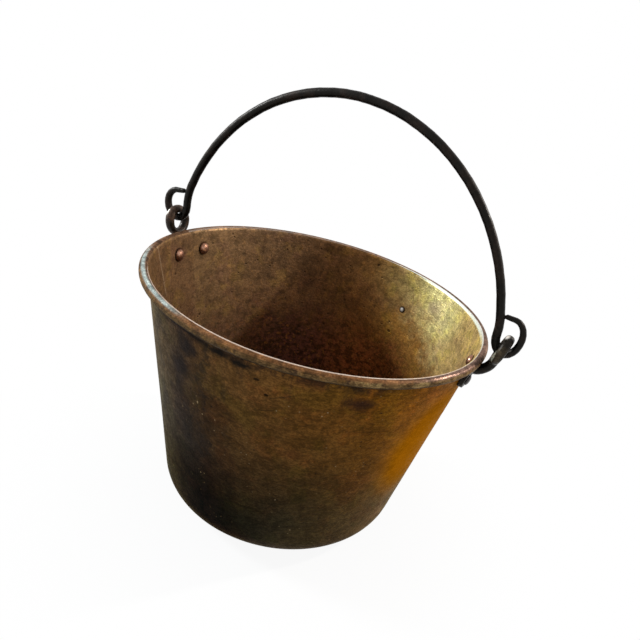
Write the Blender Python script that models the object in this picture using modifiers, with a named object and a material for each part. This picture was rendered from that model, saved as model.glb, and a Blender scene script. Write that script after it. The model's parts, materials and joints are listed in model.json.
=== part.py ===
"""Spun brass kettle with a forged iron bail.

The body is one turned shell whose rim is rolled over an iron wire. Two forged iron
ears are riveted under the rim, and the hooks of the bail hang in their rings.

Metres, +Z up. The origin is the middle of the base, on the surface that it stands on.
The ears stand on the X axis, and the bail swings about a line along X.
"""

import math
from collections import namedtuple

import bmesh
import bpy
from mathutils import Matrix, Vector

# Brass body
KETTLE_HEIGHT = 0.221
RIM_RADIUS = 0.150
BASE_RADIUS = 0.1112
CORNER_RADIUS = 0.035
SHEET = 0.0012
RIM_WIRE_RADIUS = 0.0023
ROLL_TURN = math.radians(312)

# Iron ears, forged by hand, so the two rings stand a little differently
RING_RADIUS = 0.0105
RING_BAR_HALF_DEPTH = 0.0035
RING_BAR_HALF_WIDTH = 0.0040
RIGHT_RING_LEAN = math.radians(14)
RIGHT_RING_STAND_OFF = 0.0059
RIGHT_RING_LIFT = 0.0090
LEFT_RING_LEAN = math.radians(8)
LEFT_RING_STAND_OFF = 0.0034
LEFT_RING_LIFT = 0.0054
NECK_RADIUS = 0.0041
NECK_FOOT_RADIUS = 0.0046
NECK_FOOT_RISE = 0.0024
NECK_REACH = 0.0060
PLATE_LENGTH = 0.056
PLATE_HEIGHT = 0.0150
PLATE_THICKNESS = 0.0040
PLATE_DROP = 0.0030

# Copper rivets of the ears
RIVET_SPACING = 0.036
RIVET_SHANK_RADIUS = 0.0026
RIVET_HEAD_RADIUS = 0.0056
RIVET_HEAD_HEIGHT = 0.0038
RIVET_PEEN_RADIUS = 0.0048
RIVET_PEEN_HEIGHT = 0.0020

# Small rivet that closes an old hole in the wall
PATCH_AZIMUTH = math.radians(72.4)
PATCH_HEIGHT = 0.1787
PATCH_SHANK_RADIUS = 0.0013
PATCH_HEAD_RADIUS = 0.0028
PATCH_HEAD_HEIGHT = 0.0009

# Iron bail
BAIL_ROD_RADIUS = 0.0034
BAIL_RISE = 0.1433
ARC_OVERHANG = 0.0064
ARC_SPREAD_DROP = 0.0284
ARC_ENDS_ABOVE_HINGE = 0.032
RIGHT_HOOK_HALF_WIDTH = 0.0101
RIGHT_HOOK_HALF_HEIGHT = 0.0151
RIGHT_HOOK_DROP = 0.0021
RIGHT_LEG_RADIUS = 0.0037
RIGHT_HOOK_EVEN_SHARE = 0.30
LEFT_HOOK_HALF_WIDTH = 0.0102
LEFT_HOOK_HALF_HEIGHT = 0.0122
LEFT_HOOK_TIP_RISE = 0.0012
LEFT_HOOK_SHIFT = 0.0009
LEFT_LEG_RADIUS = 0.0033
LEFT_HOOK_EVEN_SHARE = 0.60
HOOK_TIP_RADIUS = 0.0019

# Clearances
FIT = 0.0003
TIP_GAP = 0.0005

# Facets
TURN_STEPS = 64
ROLL_STEPS = 14
CORNER_STEPS = 8
RIVET_STEPS = 16
RING_STEPS = 28
ROD_SIDES = 12
ARC_STEPS = 18
LEG_STEPS = 4
HOOK_STEPS = 16

BRASS = ((0.42, 0.29, 0.11), 0.42, 1.0)
IRON = ((0.075, 0.065, 0.06), 0.55, 0.8)
COPPER = ((0.48, 0.24, 0.16), 0.38, 1.0)
TIN = ((0.33, 0.31, 0.29), 0.5, 0.9)

# Places that follow from the sizes
ROLL_MID = RIM_WIRE_RADIUS + FIT + SHEET / 2
ROLL_OUTER = ROLL_MID + SHEET / 2
ROLL_X = RIM_RADIUS - ROLL_OUTER
ROLL_Z = KETTLE_HEIGHT - ROLL_OUTER


def wall_lean():
    """Angle of the wall from upright: the line from the base that touches the roll's inner side."""
    run, rise = ROLL_X - (BASE_RADIUS - SHEET / 2), ROLL_Z
    return math.atan2(run, rise) - math.asin(ROLL_MID / math.hypot(run, rise))


LEAN = wall_lean()


def wall_radius(height, outward=0.0):
    """Radius of the middle of the wall's sheet at a height, moved outward square to the wall."""
    return BASE_RADIUS - SHEET / 2 + height * math.tan(LEAN) + outward / math.cos(LEAN)


def arc(centre_x, centre_z, radius, start, turn, steps):
    """Points of an arc in the XZ plane."""
    angles = [start + turn * i / steps for i in range(steps + 1)]
    return [(centre_x + radius * math.cos(a), centre_z + radius * math.sin(a)) for a in angles]


PLATE_Z = ROLL_Z - ROLL_OUTER - PLATE_DROP - PLATE_HEIGHT / 2
PLATE_INNER = SHEET / 2 + FIT
PLATE_OUTER = PLATE_INNER + PLATE_THICKNESS
Ring = namedtuple("Ring", "x z lean across up")


def ring_at(lean, stand_off, lift):
    """The ring of an ear, seen as if it were on the right: its middle and the way to its top."""
    return Ring(RIM_RADIUS + stand_off + RING_BAR_HALF_WIDTH, KETTLE_HEIGHT + lift, lean,
                RING_RADIUS * math.sin(lean), RING_RADIUS * math.cos(lean))


RIGHT_RING = ring_at(RIGHT_RING_LEAN, RIGHT_RING_STAND_OFF, RIGHT_RING_LIFT)
LEFT_RING = ring_at(LEFT_RING_LEAN, LEFT_RING_STAND_OFF, LEFT_RING_LIFT)
HINGE_Z = LEFT_RING.z + LEFT_RING.up - RING_BAR_HALF_DEPTH - BAIL_ROD_RADIUS - 2 * FIT
ARC_TALL = BAIL_RISE + ARC_SPREAD_DROP
ARC_HALF_SPAN = RIM_RADIUS + ARC_OVERHANG


def new_collection(name):
    collection = bpy.data.collections.new(name)
    bpy.context.scene.collection.children.link(collection)
    return collection


def clear_scene():
    for old in list(bpy.data.objects):
        bpy.data.objects.remove(old, do_unlink=True)


clear_scene()
KETTLE = new_collection("brass_kettle")
CUTTERS = new_collection("cutters")


def metal(name, look):
    colour, roughness, metallic = look
    material = bpy.data.materials.new(name)
    material.use_nodes = True
    shader = material.node_tree.nodes["Principled BSDF"]
    shader.inputs["Base Color"].default_value = (*colour, 1.0)
    shader.inputs["Roughness"].default_value = roughness
    shader.inputs["Metallic"].default_value = metallic
    return material


def place(thing, collection):
    """Moves an object into one collection, and marks the helpers as wire."""
    for old in list(thing.users_collection):
        old.objects.unlink(thing)
    collection.objects.link(thing)
    if collection is CUTTERS:
        thing.hide_render = True
        thing.display_type = "WIRE"
    return thing


def turned(name, profile, steps, collection, closed=False):
    """A profile of (radius, height) points turned about Z by a Screw modifier."""
    mesh = bpy.data.meshes.new(name)
    edges = [(i, i + 1) for i in range(len(profile) - 1)]
    if closed:
        edges.append((len(profile) - 1, 0))
    mesh.from_pydata([(r, 0.0, z) for r, z in profile], edges, [])
    thing = place(bpy.data.objects.new(name, mesh), collection)
    screw = thing.modifiers.new("turn", "SCREW")
    screw.axis = "Z"
    screw.angle = math.tau
    screw.steps = steps
    screw.render_steps = steps
    screw.use_merge_vertices = True
    screw.merge_threshold = 0.00001
    screw.use_smooth_shade = True
    return thing


def cut(thing, cutter, operation="DIFFERENCE"):
    boolean = thing.modifiers.new(operation.lower() + "_" + cutter.name, "BOOLEAN")
    boolean.operation = operation
    boolean.solver = "EXACT"
    boolean.object = cutter


def flat_radius(radius, azimuth):
    """Distance from the axis to the flat side of a turned shape, at an azimuth."""
    side = math.tau / TURN_STEPS
    return radius * math.cos(side / 2) / math.cos(azimuth % side - side / 2)


def wall_frame(azimuth, height, outward):
    """A frame on the wall: its Z axis points out, square to the sheet, and it is moved out along it."""
    turn = Matrix.Rotation(azimuth, 4, "Z")
    spot = Matrix.Translation((flat_radius(wall_radius(height), azimuth), 0.0, height))
    tilt = Matrix.Rotation(math.pi / 2 + LEAN, 4, "Y")
    return turn @ spot @ tilt @ Matrix.Translation((0.0, 0.0, outward))


def drill(name, frame, radius, depth):
    """A round cutter along the frame's Z axis."""
    bpy.ops.mesh.primitive_cylinder_add(vertices=RIVET_STEPS, radius=radius, depth=depth)
    cutter = place(bpy.context.object, CUTTERS)
    cutter.name = name
    cutter.matrix_world = frame
    return cutter


def rod(name, points, radii, collection, bevel_resolution):
    """A round bar along the points, with a radius at each."""
    curve = bpy.data.curves.new(name, "CURVE")
    curve.dimensions = "3D"
    curve.bevel_depth = 1.0
    curve.bevel_resolution = bevel_resolution
    curve.use_fill_caps = True
    spline = curve.splines.new("POLY")
    spline.points.add(len(points) - 1)
    for point, place_at, radius in zip(spline.points, points, radii):
        point.co = (*place_at, 1.0)
        point.radius = radius
    spline.use_smooth = True
    return place(bpy.data.objects.new(name, curve), collection)


def rod_mesh(name, points, radii, collection, bevel_resolution):
    """The same bar as a closed mesh, for joining to other pieces."""
    bar = rod(name + "_path", points, radii, collection, bevel_resolution)
    bpy.context.view_layer.update()
    evaluated = bar.evaluated_get(bpy.context.evaluated_depsgraph_get())
    mesh = bpy.data.meshes.new_from_object(evaluated)
    edit = bmesh.new()
    edit.from_mesh(mesh)
    bmesh.ops.remove_doubles(edit, verts=edit.verts, dist=0.00001)
    bmesh.ops.recalc_face_normals(edit, faces=edit.faces)
    edit.to_mesh(mesh)
    edit.free()
    solid = place(bpy.data.objects.new(name, mesh), collection)
    solid.matrix_world = bar.matrix_world
    bpy.data.objects.remove(bar, do_unlink=True)
    return solid


def rivet_azimuths():
    """Azimuths of the four ear rivets, by name."""
    half = RIVET_SPACING / 2 / wall_radius(PLATE_Z)
    return {
        "ear_rivet_right_front": -half,
        "ear_rivet_right_back": half,
        "ear_rivet_left_back": math.pi - half,
        "ear_rivet_left_front": math.pi + half,
    }


def body_profile():
    """Middle line of the sheet, from the middle of the base to the end of the roll."""
    corner_mid = CORNER_RADIUS - SHEET / 2
    floor = SHEET / 2
    corner_z = floor + corner_mid
    corner_x = wall_radius(corner_z) - corner_mid / math.cos(LEAN)
    corner_turn = math.pi / 2 - LEAN
    profile = [(0.0, floor), (corner_x / 2, floor)]
    profile += arc(corner_x, corner_z, corner_mid, -math.pi / 2, corner_turn, CORNER_STEPS)
    profile += arc(ROLL_X, ROLL_Z, ROLL_MID, math.pi - LEAN, -ROLL_TURN, ROLL_STEPS)
    return profile


def make_kettle_body():
    """The shell: flat base, round corner, leaning wall and a rim rolled outward."""
    body = turned("kettle_body", body_profile(), TURN_STEPS, KETTLE)
    wall = body.modifiers.new("sheet", "SOLIDIFY")
    wall.thickness = SHEET
    wall.offset = 0.0
    wall.use_even_offset = True
    for name, azimuth in rivet_azimuths().items():
        frame = wall_frame(azimuth, PLATE_Z, 0.0)
        cut(body, drill("hole_" + name, frame, RIVET_SHANK_RADIUS + FIT, 4 * SHEET))
    frame = wall_frame(PATCH_AZIMUTH, PATCH_HEIGHT, 0.0)
    cut(body, drill("hole_patch", frame, PATCH_SHANK_RADIUS + FIT, 4 * SHEET))
    body.data.materials.append(metal("old_brass", BRASS))
    return body


def make_rim_wire():
    """The iron ring inside the roll."""
    bpy.ops.mesh.primitive_torus_add(
        major_segments=TURN_STEPS,
        minor_segments=8,
        major_radius=ROLL_X,
        minor_radius=RIM_WIRE_RADIUS,
        location=(0.0, 0.0, ROLL_Z),
    )
    wire = place(bpy.context.object, KETTLE)
    wire.name = "rim_wire"
    wire.data.shade_smooth()
    wire.data.materials.append(metal("wire_iron", IRON))
    return wire


def plate_blank(name, turn):
    """Outline of the riveted plate, as a prism along the ear's own X axis."""
    curve = bpy.data.curves.new(name + "_outline", "CURVE")
    curve.dimensions = "2D"
    curve.fill_mode = "BOTH"
    curve.extrude = PLATE_THICKNESS * 2
    end = PLATE_HEIGHT / 2
    half = PLATE_LENGTH / 2 - end
    outline = arc(half, 0.0, end, -math.pi / 2, math.pi, 8)
    outline += arc(-half, 0.0, end, math.pi / 2, math.pi, 8)
    spline = curve.splines.new("POLY")
    spline.points.add(len(outline) - 1)
    for point, (x, y) in zip(spline.points, outline):
        point.co = (x, y, 0.0, 1.0)
    spline.use_cyclic_u = True
    flat = bpy.data.objects.new(name + "_outline", curve)
    place(flat, CUTTERS)
    bpy.context.view_layer.update()
    evaluated = flat.evaluated_get(bpy.context.evaluated_depsgraph_get())
    mesh = bpy.data.meshes.new_from_object(evaluated)
    edit = bmesh.new()
    edit.from_mesh(mesh)
    bmesh.ops.remove_doubles(edit, verts=edit.verts, dist=0.00001)
    bmesh.ops.recalc_face_normals(edit, faces=edit.faces)
    edit.to_mesh(mesh)
    edit.free()
    bpy.data.objects.remove(flat, do_unlink=True)
    stand = Matrix(((0, 0, 1, 0), (1, 0, 0, 0), (0, 1, 0, 0), (0, 0, 0, 1)))
    middle = Matrix.Translation((wall_radius(PLATE_Z, PLATE_INNER), 0.0, PLATE_Z))
    mesh.transform(middle @ stand)
    blank = bpy.data.objects.new(name, mesh)
    blank.matrix_world = turn
    return place(blank, KETTLE)


def make_wall_jacket():
    """A ring as thick as the ear plates that lies all round the wall, just outside it."""
    low = PLATE_Z - PLATE_HEIGHT
    high = PLATE_Z + PLATE_HEIGHT
    section = [
        (wall_radius(low, PLATE_INNER), low),
        (wall_radius(low, PLATE_OUTER), low),
        (wall_radius(high, PLATE_OUTER), high),
        (wall_radius(high, PLATE_INNER), high),
    ]
    return turned("wall_jacket", section[::-1], TURN_STEPS, CUTTERS, closed=True)


def make_eye(name, turn, ring):
    """The ring of an ear, leaning outward."""
    bpy.ops.mesh.primitive_torus_add(
        major_segments=RING_STEPS,
        minor_segments=ROD_SIDES,
        major_radius=RING_RADIUS,
        minor_radius=RING_BAR_HALF_DEPTH,
    )
    eye = place(bpy.context.object, CUTTERS)
    eye.name = name
    lean = Matrix.Rotation(math.pi / 2 + ring.lean, 4, "Y")
    widen = Matrix.Diagonal((1.0, 1.0, RING_BAR_HALF_WIDTH / RING_BAR_HALF_DEPTH, 1.0))
    eye.matrix_world = turn @ Matrix.Translation((ring.x, 0.0, ring.z)) @ lean @ widen
    return eye


def make_neck(name, turn, ring):
    """The bent stem from the plate, under the rolled rim and up into the ring."""
    foot_z = PLATE_Z + NECK_FOOT_RISE
    foot = Vector((wall_radius(foot_z, PLATE_INNER + PLATE_THICKNESS / 2), 0.0, foot_z))
    top = Vector((ring.x - ring.across, 0.0, ring.z - ring.up))
    low_pull = foot + Vector((NECK_REACH, 0.0, 0.0))
    high_pull = top - Vector((0.0, 0.0, PLATE_HEIGHT * 0.5))
    steps = 8
    points, radii = [], []
    for i in range(steps + 1):
        t = i / steps
        s = 1.0 - t
        points.append(foot * s**3 + low_pull * 3 * s * s * t + high_pull * 3 * s * t * t + top * t**3)
        radii.append(NECK_FOOT_RADIUS * s + NECK_RADIUS * t)
    neck = rod_mesh(name, points, radii, CUTTERS, bevel_resolution=4)
    neck.matrix_world = turn
    return neck


def make_ear(name, azimuth, ring, jacket):
    """One forged ear: the curved plate, the neck and the ring as a single piece."""
    turn = Matrix.Rotation(azimuth, 4, "Z")
    ear = plate_blank(name, turn)
    cut(ear, jacket, "INTERSECT")
    cut(ear, make_neck(name + "_neck", turn, ring), "UNION")
    cut(ear, make_eye(name + "_eye", turn, ring), "UNION")
    for rivet, rivet_azimuth in rivet_azimuths().items():
        if name.split("_")[1] in rivet:
            frame = wall_frame(rivet_azimuth, PLATE_Z, PLATE_INNER + PLATE_THICKNESS / 2)
            hole = drill("plate_hole_" + rivet, frame, RIVET_SHANK_RADIUS + FIT, PLATE_THICKNESS * 2)
            cut(ear, hole)
    ear.data.materials.append(metal(name + "_iron", IRON))
    return ear


def dome(radius, height, base_z, up, steps):
    """Half section of a domed head, from its rim to its top on the axis."""
    points = [(radius * math.cos(a), base_z + up * height * math.sin(a))
              for a in (math.pi / 2 * i / steps for i in range(steps))]
    return points + [(0.0, base_z + up * height)]


def rivet_profile(shank, head, head_height, peen, peen_height, grip):
    """A rivet along Z: the head inside the kettle, the shank through the grip, the peened end."""
    sag = head * head / wall_radius(PLATE_Z)
    inside = -grip / 2 - FIT - sag
    outside = grip / 2 + FIT
    peened = dome(peen, peen_height, outside, 1.0, 3)
    headed = dome(head, head_height, inside, -1.0, 4)
    return peened[::-1] + [(shank, outside), (shank, inside)] + headed


def make_rivets():
    """The four copper rivets that hold the ears."""
    grip = SHEET + FIT + PLATE_THICKNESS
    profile = rivet_profile(RIVET_SHANK_RADIUS, RIVET_HEAD_RADIUS, RIVET_HEAD_HEIGHT,
                            RIVET_PEEN_RADIUS, RIVET_PEEN_HEIGHT, grip)
    middle = (FIT + PLATE_THICKNESS) / 2
    for name, azimuth in rivet_azimuths().items():
        rivet = turned(name, profile, RIVET_STEPS, KETTLE)
        rivet.matrix_world = wall_frame(azimuth, PLATE_Z, middle)
        rivet.data.materials.append(metal(name + "_copper", COPPER))


def make_patch_rivet():
    """The small rivet that closes an old hole."""
    profile = rivet_profile(PATCH_SHANK_RADIUS, PATCH_HEAD_RADIUS, PATCH_HEAD_HEIGHT,
                            PATCH_HEAD_RADIUS, PATCH_HEAD_HEIGHT, SHEET)
    patch = turned("patch_rivet", profile, RIVET_STEPS, KETTLE)
    patch.matrix_world = wall_frame(PATCH_AZIMUTH, PATCH_HEIGHT, 0.0)
    patch.data.materials.append(metal("patch_tin", TIN))
    return patch


def bail_hooks():
    """The two hooks, seen as if each were on the right: they were forged by hand and differ."""
    Hook = namedtuple("Hook", "x low half_width half_height tip_rise leg_radius even_share")
    right = Hook(RIGHT_RING.x + RIGHT_RING.across / 2, -RIGHT_HOOK_DROP,
                 RIGHT_HOOK_HALF_WIDTH, RIGHT_HOOK_HALF_HEIGHT, 0.0,
                 RIGHT_LEG_RADIUS, RIGHT_HOOK_EVEN_SHARE)
    left = Hook(LEFT_RING.x + LEFT_RING.across / 2 + LEFT_HOOK_SHIFT, 0.0,
                LEFT_HOOK_HALF_WIDTH, LEFT_HOOK_HALF_HEIGHT, LEFT_HOOK_TIP_RISE,
                LEFT_LEG_RADIUS, LEFT_HOOK_EVEN_SHARE)
    return left, right


def bail_arc(steps):
    """The upper arc, from the top down to where the leg leaves it, as (x, z) from the hinge."""
    end = math.acos((ARC_ENDS_ABOVE_HINGE + ARC_SPREAD_DROP) / ARC_TALL)
    angles = [end * i / steps for i in range(steps + 1)]
    return [(ARC_HALF_SPAN * math.sin(a), ARC_TALL * math.cos(a) - ARC_SPREAD_DROP) for a in angles]


def leg_x(hook, z):
    """Where the leg is at a height: it eases from the arc into the hook's inner side."""
    top_x, top_z = bail_arc(1)[-1]
    low_x, low_z = hook.x - hook.half_width, hook.low + hook.half_height
    fall = top_z - low_z
    slope = (ARC_HALF_SPAN / ARC_TALL) ** 2 * (top_z + ARC_SPREAD_DROP) / top_x
    t = (top_z - z) / fall
    keep = 2 * t**3 - 3 * t * t + 1
    return top_x * keep + slope * fall * (t**3 - 2 * t * t + t) + low_x * (1 - keep)


def bail_leg(hook, steps):
    """The leg between the arc and the hook, without its two ends."""
    top_z = ARC_ENDS_ABOVE_HINGE
    fall = top_z - hook.low - hook.half_height
    heights = [top_z - fall * i / steps for i in range(1, steps)]
    return [(leg_x(hook, z), z) for z in heights]


def bail_hook(hook, steps):
    """The hook, from the leg round under the ring and over to its tip beside the leg."""
    points = arc(0.0, 0.0, 1.0, math.pi, 3 * math.pi / 2, steps)
    points = [(hook.x + hook.half_width * x, hook.low + hook.half_height * (1 + z)) for x, z in points]
    top_z = hook.low + 2 * hook.half_height
    tip_x = leg_x(hook, top_z) + hook.leg_radius + TIP_GAP
    points.append(((hook.x + tip_x) / 2, top_z + hook.tip_rise / 2))
    points.append((tip_x + HOOK_TIP_RADIUS / 2, top_z + hook.tip_rise))
    points.append((tip_x, top_z + hook.tip_rise))
    return points


def bail_side(hook):
    """Half of the bail as points and radii, from the top to one tip."""
    arc_points, leg, bend = bail_arc(ARC_STEPS), bail_leg(hook, LEG_STEPS), bail_hook(hook, HOOK_STEPS)
    points = arc_points + leg + bend
    thick = len(arc_points) + len(leg) + round(hook.even_share * HOOK_STEPS)
    thin = len(points) - thick
    shares = [(i / (thick - 1), BAIL_ROD_RADIUS, hook.leg_radius) for i in range(thick)]
    shares += [((i + 1) / thin, hook.leg_radius, HOOK_TIP_RADIUS) for i in range(thin)]
    radii = [begin + (end - begin) * share for share, begin, end in shares]
    radii[-1] = HOOK_TIP_RADIUS / 2
    return points, radii


def make_bail():
    """The iron bail: one rod, bent to an arc with a tapered hook at each end."""
    left_hook, right_hook = bail_hooks()
    left_points, left_radii = bail_side(left_hook)
    right_points, right_radii = bail_side(right_hook)
    path = [(-x, 0.0, z) for x, z in left_points[:0:-1]] + [(x, 0.0, z) for x, z in right_points]
    bail = rod("bail", path, left_radii[:0:-1] + right_radii, KETTLE, bevel_resolution=4)
    bail.location = (0.0, 0.0, HINGE_Z)
    bail.data.materials.append(metal("bail_iron", IRON))
    return bail


def main():
    jacket = make_wall_jacket()
    make_kettle_body()
    make_rim_wire()
    make_ear("ear_right", 0.0, RIGHT_RING, jacket)
    make_ear("ear_left", math.pi, LEFT_RING, jacket)
    make_rivets()
    make_patch_rivet()
    make_bail()


main()
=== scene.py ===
"""Looks of the spun brass kettle: worn brass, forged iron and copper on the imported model."""

import json
import math

import bmesh
import bpy
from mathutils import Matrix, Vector

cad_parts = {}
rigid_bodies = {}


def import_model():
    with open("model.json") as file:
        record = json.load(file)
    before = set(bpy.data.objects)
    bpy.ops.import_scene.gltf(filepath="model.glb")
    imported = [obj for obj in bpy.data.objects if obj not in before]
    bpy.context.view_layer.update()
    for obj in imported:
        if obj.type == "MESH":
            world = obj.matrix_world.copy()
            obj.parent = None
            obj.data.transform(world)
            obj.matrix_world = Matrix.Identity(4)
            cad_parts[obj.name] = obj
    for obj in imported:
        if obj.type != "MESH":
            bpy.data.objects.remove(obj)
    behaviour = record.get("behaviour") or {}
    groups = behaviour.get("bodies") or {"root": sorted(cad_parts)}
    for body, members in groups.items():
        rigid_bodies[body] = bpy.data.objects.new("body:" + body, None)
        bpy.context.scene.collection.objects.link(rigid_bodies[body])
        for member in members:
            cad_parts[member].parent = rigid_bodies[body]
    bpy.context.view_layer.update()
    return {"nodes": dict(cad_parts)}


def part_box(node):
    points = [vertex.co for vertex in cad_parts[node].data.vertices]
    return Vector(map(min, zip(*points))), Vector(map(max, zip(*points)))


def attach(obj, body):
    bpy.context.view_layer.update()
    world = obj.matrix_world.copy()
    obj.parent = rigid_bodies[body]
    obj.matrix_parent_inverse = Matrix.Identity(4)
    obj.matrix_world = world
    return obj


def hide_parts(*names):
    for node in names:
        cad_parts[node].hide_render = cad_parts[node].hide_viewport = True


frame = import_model()

# Sizes of the shell, as the solids have them
SHEET = 0.0012
RIM_WIRE_RADIUS = 0.0023
WIRE_FIT = 0.0003
BASE_RADIUS = 0.1112
CORNER_RADIUS = 0.035
ROLL_TURN = math.radians(312)

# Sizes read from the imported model
RIM_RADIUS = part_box("rim_wire")[1].x + WIRE_FIT + SHEET
KETTLE_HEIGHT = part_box("kettle_body")[1].z

# Fineness of the turned shell
TURN_STEPS = 192
BASE_ROWS = 10
CORNER_ROWS = 14
WALL_ROWS = 56
ROLL_ROWS = 32

# Hand work in the metal: how much a surface swells, and the depth and grain of its dents
SHEET_WORK = {"Swell": 0.0, "Depth": 0.0006, "Grain": 14.0}
FORGE_WORK = {"Swell": 0.00006, "Depth": 0.0007, "Grain": 70.0}
RIVET_WORK = {"Swell": 0.0, "Depth": 0.0006, "Grain": 180.0}
PLUG_WORK = {"Swell": 0.0, "Depth": 0.0003, "Grain": 500.0}

# Fineness of the forged pieces, and how far their edges are softened
FORGE_VOXEL, RIVET_VOXEL, PLUG_VOXEL = 0.00045, 0.00025, 0.00015
SOFTEN_FACTOR, SOFTEN_PASSES = 0.5, 4

# Points closer than this become one
JOIN = 0.00001

# The middle line of the roll's sheet: its radius, and the place of its centre in the section
ROLL_MID = RIM_WIRE_RADIUS + WIRE_FIT + SHEET / 2
ROLL_X = RIM_RADIUS - ROLL_MID - SHEET / 2
ROLL_Z = KETTLE_HEIGHT - ROLL_MID - SHEET / 2


def wall_lean():
    """Lean of the wall outwards, from the base to where it meets the roll."""
    run, rise = ROLL_X - (BASE_RADIUS - SHEET / 2), ROLL_Z
    return math.atan2(run, rise) - math.asin(ROLL_MID / math.hypot(run, rise))


LEAN = wall_lean()


def wall_radius(z):
    """Radius of the middle of the wall's sheet at a height."""
    return BASE_RADIUS - SHEET / 2 + z * math.tan(LEAN)


# Where things sit on the wall, by azimuth in degrees and height
PLATE_Z = 0.2029
RIVET_AZIMUTHS = (172.68, -172.68, 7.32, -7.32)
RIVET_PAIR_ANGLE = math.radians(RIVET_AZIMUTHS[2] - RIVET_AZIMUTHS[3])
PATCH_AZIMUTH, PATCH_Z = 72.4, 0.1787


def on_wall(azimuth, z):
    """A place on the wall, from its azimuth in degrees and its height."""
    turn = math.radians(azimuth)
    return Vector((wall_radius(z) * math.cos(turn), wall_radius(z) * math.sin(turn), z))


def put(tree, node, inputs):
    """Links a node's inputs to sockets, or gives them plain values."""
    for socket, value in inputs:
        if isinstance(value, bpy.types.NodeSocket):
            tree.links.new(value, node.inputs[socket])
        else:
            node.inputs[socket].default_value = value


def new_node(tree, kind, inputs=(), **settings):
    """A node with its settings and its inputs."""
    made = tree.nodes.new(kind)
    for key, value in settings.items():
        setattr(made, key, value)
    put(tree, made, inputs)
    return made


# Materials: a small set of words for the patterns that old metal shows


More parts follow.
